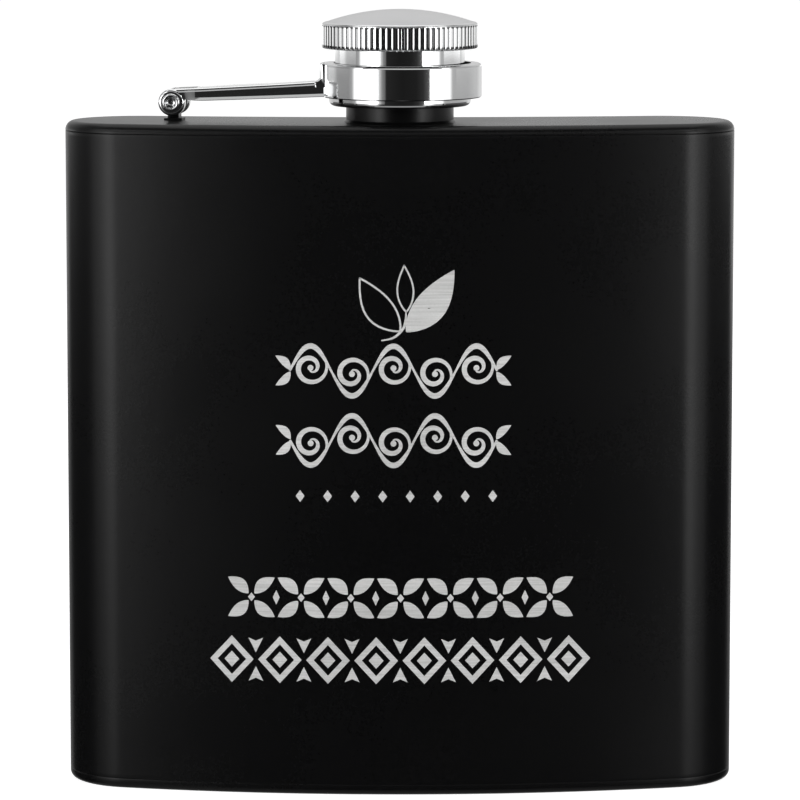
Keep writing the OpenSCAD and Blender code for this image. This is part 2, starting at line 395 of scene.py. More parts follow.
top_prof = [(SHEET, ST), (E, ST)]
top_prof += [(E - E * math.sin(a), ST + E - E * math.cos(a)) for a in quarter(4)[1:]]
top_prof += [(TR - TR * math.cos(a), BODY_H - TR + TR * math.sin(a)) for a in quarter(16)]
top_prof += [(1.6, BODY_H), (2.2, BODY_H), (1.9, BODY_H - SHEET)]
top_prof += [(SHEET + 0.7 * (1 - math.cos(a)), BODY_H - TR + 0.7 * math.sin(a)) for a in quarter(8)[::-1]]
cap_row = [i for i, (d, z) in enumerate(top_prof) if d == 2.2][0]
top_skin = skin("top_pressing", top_prof, [(cap_row, 6.13)])
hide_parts("top_plate")

w_prof = [(SHEET, ST)] + [(E - E * math.sin(a), ST - E + E * math.cos(a)) for a in quarter(4)]
w_prof += [(0, z) for z in (ST - 0.6, ST - 12, 50.0, 26.0, SB + 6, SB + 0.6)]
w_prof += [(E - E * math.cos(a), SB + E - E * math.sin(a)) for a in quarter(4)] + [(SHEET, SB)]
wrap_skin = skin("wrap_rolled", w_prof)
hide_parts("body_wrap")

b_prof = [(SHEET, SB)] + [(E - E * math.sin(a), SB - E + E * math.cos(a)) for a in quarter(4)]
b_prof += [(BR - BR * math.cos(a), BR - BR * math.sin(a)) for a in quarter(14)]
b_prof += [(1.3, 0), (2.0, 0), (1.6, SHEET)]
b_prof += [(SHEET + 0.4 * (1 - math.cos(a)), BR - 0.4 * math.sin(a)) for a in quarter(6)[::-1]]
cap_row = [i for i, (d, z) in enumerate(b_prof) if d == 2.0][0]
bottom_skin = skin("bottom_pressing", b_prof, [(cap_row, 0)])
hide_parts("bottom_plate")

# ------------------------------------------------------------------ the fluted grip with its dome
def lathe(cols, rows, rfun, name, mats=(), matfun=None, cx=0.0, cy=0.0):
    """Closed surface of revolution. rows is a list of (r, z, k); rfun gives the radius at (row, column)."""
    verts, faces, fm = [], [], []
    n = len(rows)
    ring = []
    for i, (r, z, k) in enumerate(rows):
        if r == 0:
            ring.append([len(verts)] * cols)
            verts.append((cx, cy, z))
            continue
        ids = []
        for j in range(cols):
            a = 2 * math.pi * j / cols
            rr, zz = rfun(r, z, k, a)
            ids.append(len(verts))
            verts.append((cx + rr * math.cos(a), cy + rr * math.sin(a), zz))
        ring.append(ids)
    for i in range(n - 1):
        a, b = ring[i], ring[i + 1]
        for j in range(cols):
            q = (j + 1) % cols
            f = [a[j], a[q], b[q], b[j]]
            u = []
            for v in f:
                if v not in u:
                    u.append(v)
            if len(u) >= 3:
                faces.append(u)
                fm.append(matfun(i) if matfun else 0)
    ob = new_mesh(name, verts, faces, True, mats, fm)
    return ob


FL = 80
GR = 11.0
G0, G1 = shell_lo[2], None
DOME_H = 1.85
G1 = shell_hi[2] - DOME_H
DOME_R = ((GR - 0.4) ** 2 + DOME_H**2) / (2 * DOME_H)
TOP = G1 + DOME_H


def flute(r, z, k, a):
    """k = 1 where the flutes may cut in."""
    if k <= 0:
        return r, z
    u = abs((a * FL / (2 * math.pi)) % 1.0 - 0.5)     # 0 in the middle of a groove, 0.5 on top of a ridge
    zt = G1 - 0.58                                     # grooves end in a small arch below the rim
    f = 1.0
    if z > zt:
        t = min(1.0, (z - zt) / 0.24)
        f = math.sqrt(max(0.0, 1 - t * t))
    v = (0.5 - u) / 0.5                                # 0 on the ridge, 1 in the groove
    crown = 0.5 * (1 - math.sqrt(max(0.0, 1 - (v * 0.86) ** 2)))
    gr = 0.24 * max(0.0, 1 - (u / 0.17) ** 2) ** 0.7 if u < 0.17 else 0.0
    return r - k * f * (crown * 0.8 + gr), z


rows = [(0, G0 + 3.4, 0)]
inner = []
inner_r = DOME_R - 0.6
a2 = math.asin(9.2 / inner_r)
for i in range(1, 7):
    a = a2 * i / 6
    inner.append((inner_r * math.sin(a), TOP - DOME_R + inner_r * math.cos(a), 0))
rows = [(0, TOP - 0.6, 0)] + inner + [(10.05, G1 - 0.8, 0), (10.05, G0 + 0.6, 0), (9.15, G0 + 0.6, 0), (9.15, G0 + 0.02, 0), (9.2, G0, 0),
        (9.8, G0, 0), (10.3, G0, 0.0), (10.55, G0, 0.3), (10.78, G0 + 0.03, 0.8), (10.9, G0 + 0.09, 1), (10.965, G0 + 0.17, 1), (11.0, G0 + 0.28, 1)]
z = G0 + 0.6
while z < G1 - 0.9:
    rows.append((11.0, z, 1))
    z += 0.4
for dz in (0.86, 0.72, 0.62, 0.57, 0.53, 0.49, 0.45, 0.42, 0.395, 0.375, 0.36, 0.348, 0.341):
    rows.append((11.0, G1 - dz, 1))
edge_shell = len(rows)
rows += [(11.0, G1 - 0.31, 0), (10.985, G1 - 0.22, 0), (10.94, G1 - 0.13, 0), (10.87, G1 - 0.055, 0), (10.76, G1 + 0.005, 0), (10.66, G1 + 0.03, 0)]
for i in range(1, 25):
    a = math.asin((GR - 0.4) / DOME_R) * (1 - i / 24) * 1.0
    r = DOME_R * math.sin(a)
    rows.append((r if i < 24 else 0, TOP - DOME_R + DOME_R * math.cos(a), 0))
grip = lathe(FL * 14, rows, flute, "cap_grip", (M_CHROME, M_DOME),
             lambda i: 1 if i >= edge_shell + 5 else 0, NECK_X, NECK_Y)
by_angle(grip, 40)
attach(grip, "cap")
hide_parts("cap_shell")


# ------------------------------------------------------------------ screw threads
def helix(name, root, crest, z0, turns, pitch, w, a0, mat, steps=144):
    """Rounded trapezoid ridge that runs out at both ends."""
    prof = []
    half = w / 2
    for t in range(0, 13):
        u = -1 + 2 * t / 12
        h = (1 - abs(u) ** 2.6)
        prof.append((h, u * half))
    k = int(turns * steps)
    verts, faces = [], []
    m = len(prof)
    s = 1 if crest > root else -1
    for i in range(k + 1):
        a = a0 + 2 * math.pi * i / steps
        f = min(1.0, min(i, k - i) / (steps * 0.16))
        f = math.sin(f * math.pi / 2)
        z = z0 + pitch * i / steps
        for h, dz in prof:
            r = root - 0.04 * s + (crest - root + 0.04 * s) * h * f
            verts.append((NECK_X + r * math.cos(a), NECK_Y + r * math.sin(a), z + dz * (0.45 + 0.55 * f)))
    for i in range(k):
        for j in range(m):
            q = (j + 1) % m
            f4 = [i * m + j, i * m + q, (i + 1) * m + q, (i + 1) * m + j]
            faces.append(f4 if s < 0 else f4[::-1])
    faces.append(list(range(m)) if s > 0 else list(range(m))[::-1])
    end = [k * m + j for j in range(m)]
    faces.append(end[::-1] if s > 0 else end)
    ob = new_mesh(name, verts, faces, True, (mat,))
    by_angle(ob, 50)
    return ob


(tl, th) = bx("neck_thread")
ob = helix("neck_thread_fine", 6.1, 6.6, BODY_H + 5.6, 1.6, 2.0, 1.0, math.radians(200), M_STEEL)
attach(ob, "flask")
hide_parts("neck_thread")
ob = helix("insert_thread_fine", 7.6, 7.15, BODY_H + 5.6, 1.1, 2.0, 0.9, math.radians(20), M_PLASTIC)
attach(ob, "cap")
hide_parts("insert_thread")


# ------------------------------------------------------------------ the arm
HX, HY, HH = 32.0, 4.0, 2.6
PIN = (NECK_X - HX, NECK_Y + HY, BODY_H + HH)
HA = math.atan(HY / HX)
HL = math.hypot(HX, HY)
RING_R = 11.2
RING_C = HL + 0.35
TAB_Y = 4.0
TAB_Z = 8.3 - HH - 0.05


def at_hinge(p):
    """x runs along the arm from the pin, y along the pin, z up."""
    x, y, z = p
    return (PIN[0] + x * math.cos(HA) + y * math.sin(HA), PIN[1] - x * math.sin(HA) + y * math.cos(HA), PIN[2] + z)


ARM_END = RING_C - 9.8


def lerp_table(x, tab):
    for (x0, v0), (x1, v1) in zip(tab, tab[1:]):
        if x <= x1:
            t = max(0.0, (x - x0) / (x1 - x0))
            return v0 + (v1 - v0) * t
    return tab[-1][1]


def arm_w(x):
    t = min(1.0, max(0.0, (x - 4.0) / (ARM_END - 4.0)))
    u = min(1.0, max(0.0, (x - 1.5) / 2.4))
    return 2.9 + 0.2 * t - 0.1 * (1 - u * u * (3 - 2 * u))


def arm_top(x):
    return lerp_table(x, [(0, 1.9), (3, 2.05), (ARM_END, 3.2)])


def arm_low(x):
    # the flange draws up in a curve towards the knuckle
    base = lerp_table(x, [(0, 0.15), (3, 0.22), (ARM_END, 0.97)])
    if x < 5.0:
        t = 1 - (x - 1.0) / 4.0
        base += 0.42 * max(0.0, min(1.0, t)) ** 2
    return base


def arc2(cy, cz, r, a0, a1, n):
    return [(cy + r * math.cos(math.radians(a0 + (a1 - a0) * i / n)), cz + r * math.sin(math.radians(a0 + (a1 - a0) * i / n))) for i in range(n + 1)]


T_ARM = 0.5


def crisp(pts, d=0.018):
    """Doubles every inner bend of the line with a point just before and after it."""
    out = [pts[0]]
    for i in range(1, len(pts) - 1):
        a, b, c = pts[i - 1], pts[i], pts[i + 1]
        for q in (a, c):
            l = math.hypot(q[0] - b[0], q[1] - b[1])
            k = min(0.3, d / l)
            out.append((b[0] + (q[0] - b[0]) * k, b[1] + (q[1] - b[1]) * k))
    return out + [pts[-1]]


# the shoulder, from the flat top down to the face: (normal's tilt from, to, radius)
SHOULDER = [(90, 36, 0.42, 8), (36, 18, 0.5, 4), (18, 8, 1.4, 6), (8, 0, 0.6, 3)]
SH_Z = sum(r_ * (math.sin(math.radians(a_)) - math.sin(math.radians(b_))) for a_, b_, r_, n_ in SHOULDER)
SH_Y = sum(r_ * (math.cos(math.radians(b_)) - math.cos(math.radians(a_))) for a_, b_, r_, n_ in SHOULDER)


def shoulder(y0, z0, k=1.0):
    """Points of the front shoulder from its top, on the flat at height z0, down to the face at y0."""
    y, z = y0 + SH_Y * k, z0
    out = [(y, z)]
    for a_, b_, r_, n_ in SHOULDER:
        for i in range(n_):
            p_, q_ = (math.radians(a_ + (b_ - a_) * (i + j) / n_) for j in (0, 1))
            y -= k * r_ * (math.cos(q_) - math.cos(p_))
            z -= k * r_ * (math.sin(p_) - math.sin(q_))
            out.append((y, z))
    return out


def flange_out(x, w_, zt, zb):
    """Outer face of the front flange from its foot to the shoulder: a lip that leans out, then the face with a faint step."""
    u = min(1.0, max(0.0, (x - 2.2) / 2.6))
    u = 0.25 + 0.75 * u * u * (3 - 2 * u)
    top = zt - SH_Z * shoulder_k(zt, zb)
    mid = zb + 0.5 + (top - zb - 0.5) * 0.42
    return crisp([(-w_ + 0.02, zb), (-w_ - 0.10 * u, zb + 0.01), (-w_ - 0.135 * u, zb + 0.045), (-w_ - 0.12 * u, zb + 0.10), (-w_ - 0.022 * u, zb + 0.47),
                  (-w_ - 0.015 * u, mid - 0.05), (-w_, mid + 0.05), (-w_, top)])


def shoulder_k(zt, zb):
    return min(1.0, (zt - zb - 0.62) / SH_Z)


def section_u(x):
    w_, zt, zb = arm_w(x), arm_top(x), arm_low(x)
    r, e = 0.3, 0.16
    sh = shoulder(-w_, zt, shoulder_k(zt, zb))
    p = []
    p += flange_out(x, w_, zt, zb)[:-1]
    p += sh[::-1]                                         # front shoulder
    p += [(-w_ * 0.5, zt), (0, zt), (w_ * 0.5, zt)]
    p += [(-y, z) for y, z in sh]
    p += [(-y, z) for y, z in flange_out(x, w_, zt, zb)[-2::-1]]
    p += arc2(w_ - T_ARM + e, zb + e, e, 270, 180, 4)
    p += arc2(w_ - T_ARM - r, zt - T_ARM - r, r, 0, 90, 4)
    p += [(0, zt - T_ARM)]
    p += arc2(-w_ + T_ARM + r, zt - T_ARM - r, r, 90, 180, 4)
    p += arc2(-w_ + T_ARM - e, zb + e, e, 0, -90, 4)
    return p


def section_l(x, s):
    """One strap beside the slot; s = -1 in front, 1 behind."""
    w_, zt, zb = arm_w(x), arm_top(x), arm_low(x)
    r, e = 0.3, 0.1
    sh = shoulder(-w_, zt, shoulder_k(zt, zb))
    p = []
    p += arc2(1.4 + e, zt - T_ARM + e, e, 270, 180, 3)
    p += arc2(1.4 + e, zt - e, e, 180, 100, 3)
    p += [(-y, z) for y, z in sh]
    p += [(-y, z) for y, z in flange_out(x, w_, zt, zb)[-2::-1]]
    p += arc2(w_ - T_ARM + 0.16, zb + 0.16, 0.16, 270, 180, 4)
    p += arc2(w_ - T_ARM - r, zt - T_ARM - r, r, 0, 90, 4)
    return [(y * s, z) for y, z in p]


def loft(parts, loops, close=True):
    verts, faces = parts
    rows_ = []
    for lp in loops:
        ids = []
        for q in lp:
            ids.append(len(verts))
            verts.append(q)
        rows_.append(ids)
    m = len(rows_[0])
    for a, b in zip(rows_, rows_[1:]):
        for j in range(m):
            q = (j + 1) % m
            faces.append([a[j], a[q], b[q], b[j]])
    if close:
        faces.append(rows_[0][::-1])
        faces.append(rows_[-1])


def x_end(y):
    return RING_C - math.sqrt(RING_R**2 - y * y)


parts = ([], [])
X0 = 3.4
loops = []
NS = 46
for i in range(NS + 1):
    t = i / NS
    xn = X0 + (ARM_END - X0) * t
    lp = []
    for y, z in section_u(xn):
        xe = x_end(max(-TAB_Y, min(TAB_Y, y)))
        k = max(0.0, (t - 0.5) / 0.5)
        x = X0 + (xn - X0) * (1 - k) + (xe - X0) * t * k if k < 1 else xe
        lp.append(at_hinge((x, y, z)))
    loops.append(lp)
loft(parts, loops)
for s_ in (-1, 1):
    loops = []
    for i in range(11):
        x = X0 + 0.02 - (X0 - 0.35) * i / 10
        loops.append([at_hinge((x, y, z)) for y, z in section_l(x, s_)])
    loft(parts, loops)
    # knuckle: a rolled eye with eased edges
    y0, y1, e, e2 = 1.4, 2.9, 0.13, 0.42
    ri, ro = 0.97, 1.9
    prof = (arc2(y0 + e, ro - e, e, 180, 90, 4) + arc2(y1 - e2, ro - e2, e2, 90, 0, 10)
            + [(y1, ri + 0.06), (y1 - 0.06, ri), (y0 + 0.06, ri), (y0, ri + 0.06)])
    M_ = 72
    verts, faces = parts
    ids = []
    for j in range(M_):
        a = 2 * math.pi * j / M_
        row = []
        for y, r in prof:
            row.append(len(verts))
            verts.append(at_hinge((r * math.cos(a), y * s_, r * math.sin(a))))
        ids.append(row)
    for j in range(M_):
        a, b = ids[j], ids[(j + 1) % M_]
        for i in range(len(prof)):
            q = (i + 1) % len(prof)
            faces.append([a[i], a[q], b[q], b[i]])
# tab that turns up against the ring
e = 0.09
prof = ([(RING_R + 0.02, 2.35), (RING_R + 1.2, 2.35), (RING_R + 1.25, 3.1)]
        + arc2(RING_R + 1.25, 3.92, 0.8, 270, 180, 8)
        + arc2(RING_R + 0.45 - 0.14, TAB_Z - 0.14, 0.14, 0, 90, 5)
        + [(RING_R + 0.1, TAB_Z), (RING_R + 0.02, TAB_Z - 0.06)])
loops = []
for i in range(25):
    t = -1 + 2 * i / 24
    y = TAB_Y * math.sin(t * math.pi / 2) if abs(t) < 1 else TAB_Y * t
    k = 0.0 if i not in (0, 24) else 0.07
    lp = []
    for r, z in prof:
        rr = min(r, RING_R + 0.45 - k) if z > 3.5 else r
        lp.append(at_hinge((RING_C - math.sqrt(rr * rr - y * y), y, z)))
    loops.append(lp)
loft(parts, loops)
# tubular rivet: shank, and at each end a head rolled outwards round a hollow
rv = [(0, 2.52), (0.3, 2.52), (0.5, 2.56), (0.60, 2.66), (0.64, 2.82), (0.66, 3.0)]
rv += arc2(0.98, 3.02, 0.30, 178, -8, 16)
rv += [(1.24, 2.96), (1.18, 2.95), (0.96, 2.95), (0.95, 2.94)]
half = [(r, y) for r, y in rv]
prof = half + [(r, -y) for r, y in half[::-1]]
verts, faces = [], []
M_ = 72
ids = []
for j in range(M_):
    a = 2 * math.pi * j / M_
    row = []
    for r, y in prof:
        if r == 0:
            row.append(None)
            continue
        row.append(len(verts))
        verts.append(at_hinge((r * math.cos(a), -y, r * math.sin(a))))
    ids.append(row)
poles = (len(verts), len(verts) + 1)
verts += [at_hinge((0, -prof[0][1], 0)), at_hinge((0, -prof[-1][1], 0))]
for j in range(M_):
    a, b = ids[j], ids[(j + 1) % M_]
    for i in range(len(prof) - 1):
        f = [a[i] if a[i] is not None else poles[0], b[i] if b[i] is not None else poles[0],
             b[i + 1] if b[i + 1] is not None else poles[1], a[i + 1] if a[i + 1] is not None else poles[1]]
        u = []
        for q in f:
            if q not in u:
                u.append(q)
        faces.append(u)
M_RIVET = chrome("chrome_rivet", (0.70, 0.705, 0.71), 0.10, 0.2)
rivet = new_mesh("rivet_rolled", verts, faces, True, (M_RIVET,))
outward(rivet)
by_angle(rivet, 50)
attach(rivet, "flask")
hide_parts("hinge_pin")

arm = new_mesh("arm_pressed", parts[0], parts[1], True, (M_CHROME,))
import bmesh
bm = bmesh.new()
bm.from_mesh(arm.data)
bmesh.ops.recalc_face_normals(bm, faces=bm.faces)
bm.to_mesh(arm.data)
bm.free()
by_angle(arm, 38)
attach(arm, "arm")
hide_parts("arm")

# ------------------------------------------------------------------ laser-marked ornament on the front
def on_front(x, z, lift):
    """Point of the curved front above (x, z), lifted off it by that many millimetres."""
    a = math.asin(x / FRONT_R)
    r = FRONT_R + lift
    return (r * math.sin(a), YF + FRONT_R - r * math.cos(a), z)


LIFT = 0.022


def plate_from(name_parts, poly, holes=()):
    """Adds one flat shape to the parts: its face follows the front, and its rim drops to it."""
    verts, faces = name_parts
    # add points along long edges so the face follows the curve
    def dense(p):
        out = []
        for i, a in enumerate(p):
            b = p[(i + 1) % len(p)]
            n = max(1, int(math.hypot(b[0] - a[0], b[1] - a[1]) / 1.2))
            for k in range(n):
                t = k / n
                out.append((a[0] + (b[0] - a[0]) * t, a[1] + (b[1] - a[1]) * t))
        return out
    loops = [dense(poly)] + [dense(h) for h in holes]
    tris = tessellate_polygon([[Vector((x, z, 0)) for x, z in lp] for lp in loops])
    flat = [p for lp in loops for p in lp]
    base = len(verts)
    for x, z in flat:
        verts.append(on_front(x, z, LIFT))
    low = len(verts)
    for x, z in flat:
        verts.append(on_front(x, z, -0.01))
    for t in tris:
        a, b, c = (flat[i] for i in t)
        s = (b[0] - a[0]) * (c[1] - a[1]) - (b[1] - a[1]) * (c[0] - a[0])
        if abs(s) < 1e-9:
            continue
        t = list(t) if s > 0 else list(t)[::-1]
        faces.append([base + i for i in t])
        faces.append([low + i for i in t[::-1]])
    o = 0
    for lp in loops:
        n = len(lp)
        area = sum(lp[i][0] * lp[(i + 1) % n][1] - lp[(i + 1) % n][0] * lp[i][1] for i in range(n))
        outer = lp is loops[0]
        for i in range(n):
            j = (i + 1) % n
            q = [base + o + i, base + o + j, low + o + j, low + o + i]
            flip = (area > 0) == outer
            faces.append(q[::-1] if flip else q)
        o += n


def stroke(parts, pts, width, steps=14, lift=0.0):
    """A pen stroke through pts (x, z, w): a smooth curve whose width follows w."""
    verts, faces = parts
    P = [pts[0]] + list(pts) + [pts[-1]]
    cl = []
    for i in range(1, len(P) - 2):
        p0, p1, p2, p3 = P[i - 1], P[i], P[i + 1], P[i + 2]
        for k in range(steps):
            t = k / steps
            cl.append(tuple(0.5 * ((2 * p1[c]) + (-p0[c] + p2[c]) * t + (2 * p0[c] - 5 * p1[c] + 4 * p2[c] - p3[c]) * t * t
                                   + (-p0[c] + 3 * p1[c] - 3 * p2[c] + p3[c]) * t**3) for c in range(3)))
    cl.append(tuple(pts[-1]))
    n = len(cl)
    rows_ = []
    for i, (x, z, w) in enumerate(cl):
        a, b = cl[max(0, i - 1)], cl[min(n - 1, i + 1)]
        dx, dz = b[0] - a[0], b[1] - a[1]
        L = math.hypot(dx, dz) or 1
        nx, nz = -dz / L, dx / L
        h = max(0.03, w) * width / 2
        ids = []
        # low edge, crown, low edge: a slightly crowned ribbon
        for s, up in ((-1, -0.01), (-1, LIFT * 0.55), (-0.55, LIFT + lift), (0.55, LIFT + lift), (1, LIFT * 0.55), (1, -0.01)):
            ids.append(len(verts))
            verts.append(on_front(x + nx * h * s, z + nz * h * s, up))
        rows_.append(ids)
    m = len(rows_[0])
    for a, b in zip(rows_, rows_[1:]):
        for j in range(m):
            q = (j + 1) % m
            faces.append([a[j], b[j], b[q], a[q]])
    faces.append(rows_[0])
    faces.append(rows_[-1][::-1])


def finish_mark(name, parts):
    ob = new_mesh(name, parts[0], parts[1], True, (M_ETCH,))
    import bmesh
    bm = bmesh.new()
    bm.from_mesh(ob.data)
    bmesh.ops.remove_doubles(bm, verts=bm.verts, dist=1e-7)
    bmesh.ops.recalc_face_normals(bm, faces=bm.faces)
    bm.to_mesh(ob.data)
    bm.free()
    by_angle(ob, 30)
    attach(ob, "flask")
    return ob


def leaf(a, b, w, n=18, tip=0.85, bend=0.0):
    """Closed outline of a leaf from a to b, w wide, its midrib bent sideways by bend."""
    dx, dz = b[0] - a[0], b[1] - a[1]
    L = math.hypot(dx, dz)
    tx, tz = dx / L, dz / L
    nx, nz = -tz, tx
    up, dn = [], []
    for i in range(n + 1):
        t = (1 - math.cos(math.pi * i / n)) / 2
        h = w / 2 * math.sin(math.pi * t ** tip) ** 0.9 if 0 < i < n else 0
        o = bend * math.sin(math.pi * t)
        cx_, cz_ = a[0] + dx * t + nx * o, a[1] + dz * t + nz * o
        up.append((cx_ + nx * h, cz_ + nz * h))
        dn.append((cx_ - nx * h, cz_ - nz * h))
    return dn + up[-2:0:-1]


def shrink(poly, d):
    """The outline drawn in by d along its own normals."""
    n = len(poly)
    area = sum(poly[i][0] * poly[(i + 1) % n][1] - poly[(i + 1) % n][0] * poly[i][1] for i in range(n))
    sg = 1 if area > 0 else -1
    out = []
    for i in range(n):
        a, b, c = poly[i - 1], poly[i], poly[(i + 1) % n]
        e1 = (b[0] - a[0], b[1] - a[1]); e2 = (c[0] - b[0], c[1] - b[1])
        l1, l2 = math.hypot(*e1) or 1, math.hypot(*e2) or 1
        n1 = (-e1[1] / l1 * sg, e1[0] / l1 * sg); n2 = (-e2[1] / l2 * sg, e2[0] / l2 * sg)
        m = (n1[0] + n2[0], n1[1] + n2[1])
        ml = math.hypot(*m) or 1
        k = min(3.2, 1 / max(0.2, (m[0] * n1[0] + m[1] * n1[1]) / ml))
        out.append((b[0] + m[0] / ml * d * k, b[1] + m[1] / ml * d * k))
    return out


def curl(cx_, cz_, r0, r1, a0, turns, w0, w1, n=14):
    """Points of a spiral that winds in from r0 to r1."""
    out = []
    for i in range(n + 1):
        t = i / n
        a = a0 + 2 * math.pi * turns * t
        r = r0 + (r1 - r0) * t ** 0.8
        out.append((cx_ + r * math.cos(a), cz_ + r * math.sin(a), w0 + (w1 - w0) * t))
    return out


def ring_from(name_parts, outer, inner):
    """Adds an outline to the parts: the band between two loops with the same count of points."""
    verts, faces = name_parts
    n = len(outer)
    rows_ = []
    for loop, lift in ((outer, LIFT), (inner, LIFT), (inner, -0.01), (outer, -0.01)):
        rows_.append([len(verts) + i for i in range(n)])
        verts.extend([on_front(x, z, lift) for x, z in loop])
    for k in range(4):
        a, b = rows_[k], rows_[(k + 1) % 4]
        for i in range(n):
            j = (i + 1) % n
            faces.append([a[i], a[j], b[j], b[i]])


# sprig of two leaves and a bud
parts = ([], [])
right = leaf((0.9, 65.9), (7.6, 74.6), 4.4, bend=-0.5)
plate_from(parts, right)
left = leaf((0.1, 65.9), (-5.7, 73.6), 4.2, bend=0.5)
ring_from(parts, left, shrink(left, 0.27))
bud = leaf((0.9, 68.6), (0.6, 75.4), 2.5)
ring_from(parts, bud, shrink(bud, 0.24))
stroke(parts, [(-2.6, 64.7, 0.5), (-0.9, 65.1, 0.9), (0.4, 66.3, 1.0), (0.8, 67.6, 0.9), (0.85, 68.8, 0.5)], 0.34)
finish_mark("mark_sprig", parts)

# two lines of vine scroll: a waved stem with a coil in each bay and two leaves at each end
def vine(name, x0, x1, z0, amp, bays, flip):
    parts = ([], [])
    pitch_ = (x1 - x0) / bays
    pts = []
    for i in range(bays * 10 + 1):
        t = i / 10
        pts.append((x0 + pitch_ * t, z0 + flip * amp * math.sin(math.pi * t), 0.5 + 0.75 * abs(math.sin(math.pi * t)) ** 1.5))
    stroke(parts, pts, 0.62, 4)
    for i in range(bays):
        sgn = flip * (1 if i % 2 == 0 else -1)
        # the coil leaves the falling side of the stem and winds in under the crest
        t0 = 0.86
        sx, sz = x0 + pitch_ * (i + t0), z0 + sgn * amp * math.sin(math.pi * t0)
        cx_, cz_ = x0 + pitch_ * (i + 0.5), z0 + sgn * amp * 0.12
        r0 = math.hypot(sx - cx_, sz - cz_)
        a0 = math.atan2(sz - cz_, sx - cx_)
        n = 26
        co_ = []
        for k in range(n + 1):
            t = k / n
            a = a0 - sgn * 2 * math.pi * 1.36 * t
            r = r0 * (1 - t) ** 0.72 * 0.86 + r0 * 0.14
            co_.append((cx_ + r * math.cos(a), cz_ + r * math.sin(a), 0.4 + 0.8 * math.sin(math.pi * min(1, t * 1.1)) ** 0.8))
        stroke(parts, co_, 0.6, 4, 0.003)
        # bead at the heart of the coil
        plate_from(parts, [(cx_ + 0.42 * math.cos(math.pi * q / 6), cz_ + 0.42 * math.sin(math.pi * q / 6)) for q in range(12)])
    # a pair of leaves closes each end
    for xe, sx in ((x0, -1), (x1, 1)):
        for sz in (-1, 1):
            plate_from(parts, leaf((xe - sx * 0.1, z0 + sz * 0.12), (xe + sx * 2.0, z0 + sz * 2.1), 1.15, 12, 0.9, 0.3 * sx * sz))
    return finish_mark(name, parts)


vine("mark_vine_upper", -15.4, 13.6, 60.4, 3.5, 5, 1)
vine("mark_vine_lower", -15.4, 13.6, 50.6, 3.5, 5, -1)

# lozenge row
parts = ([], [])
for i in range(8):
    x = -14.0 + 3.86 * i
    z = 42.7
    plate_from(parts, [(x, z - 0.85), (x + 0.62, z), (x, z + 0.85), (x - 0.62, z)])
finish_mark("mark_row", parts)


# two bold borders
def border(name, x0, x1, z0, z1, count, style):
    parts = ([], [])
    p = (x1 - x0) / count
    zm, hh = (z0 + z1) / 2, (z1 - z0) / 2
    for i in range(count):
        c = x0 + p * (i + 0.5)
        if style == 0:
            # four petals round a lozenge
            for sx in (-1, 1):
                for sz in (-1, 1):
                    plate_from(parts, leaf((c + sx * 0.42, zm + sz * 0.5), (c + sx * (p / 2 - 0.22), zm + sz * (hh - 0.05)), 1.75, 12, 0.9, sx * sz * 0.25))
            plate_from(parts, [(c, zm - 0.62), (c + 0.5, zm), (c, zm + 0.62), (c - 0.5, zm)])
            if i < count - 1:
                plate_from(parts, [(c + p / 2, zm - 1.05), (c + p / 2 + 0.48, zm), (c + p / 2, zm + 1.05), (c + p / 2 - 0.48, zm)])
        else:
            # open lozenge with a solid heart, and wedges between
            w_ = p / 2 - 0.32
            outer = [(c, zm - hh), (c + w_, zm), (c, zm + hh), (c - w_, zm)]
            plate_from(parts, outer, [shrink(outer, 0.78)])
            plate_from(parts, [(c, zm - hh * 0.34), (c + w_ * 0.34, zm), (c, zm + hh * 0.34), (c - w_ * 0.34, zm)])
            if i < count - 1:
                m = c + p / 2
                for sz in (-1, 1):
                    plate_from(parts, [(m, zm + sz * 1.0), (m + 1.05, zm + sz * (hh - 0.25)), (m, zm + sz * (hh - 0.7)), (m - 1.05, zm + sz * (hh - 0.25))])
    return finish_mark(name, parts)


border("mark_border_upper", -24.4, 24.6, 25.4, 31.1, 7, 0)
border("mark_border_lower", -27.1, 27.2, 16.0, 22.7, 8, 1)

# ------------------------------------------------------------------ stage, light, camera
def emit(name, L, col=(1, 1, 1)):
    m = bpy.data.materials.new(name)
    m.use_nodes = True
    t = m.node_tree
    for nd in list(t.nodes):
        t.nodes.remove(nd)
    e = t.nodes.new("ShaderNodeEmission")
    e.inputs["Color"].default_value = (*col, 1)
    e.inputs["Strength"].default_value = L
    o = t.nodes.new("ShaderNodeOutputMaterial")
    t.links.new(e.outputs[0], o.inputs[0])
    return m


def lamp(name):
    """Emission whose strength is stored on the panel itself."""
    m = emit(name, 1.0)
    t = m.node_tree
    at = t.nodes.new("ShaderNodeAttribute")
    at.attribute_name = "level"
    e = [nd for nd in t.nodes if nd.type == "EMISSION"][0]
    t.links.new(at.outputs["Fac"], e.inputs["Strength"])
    return m


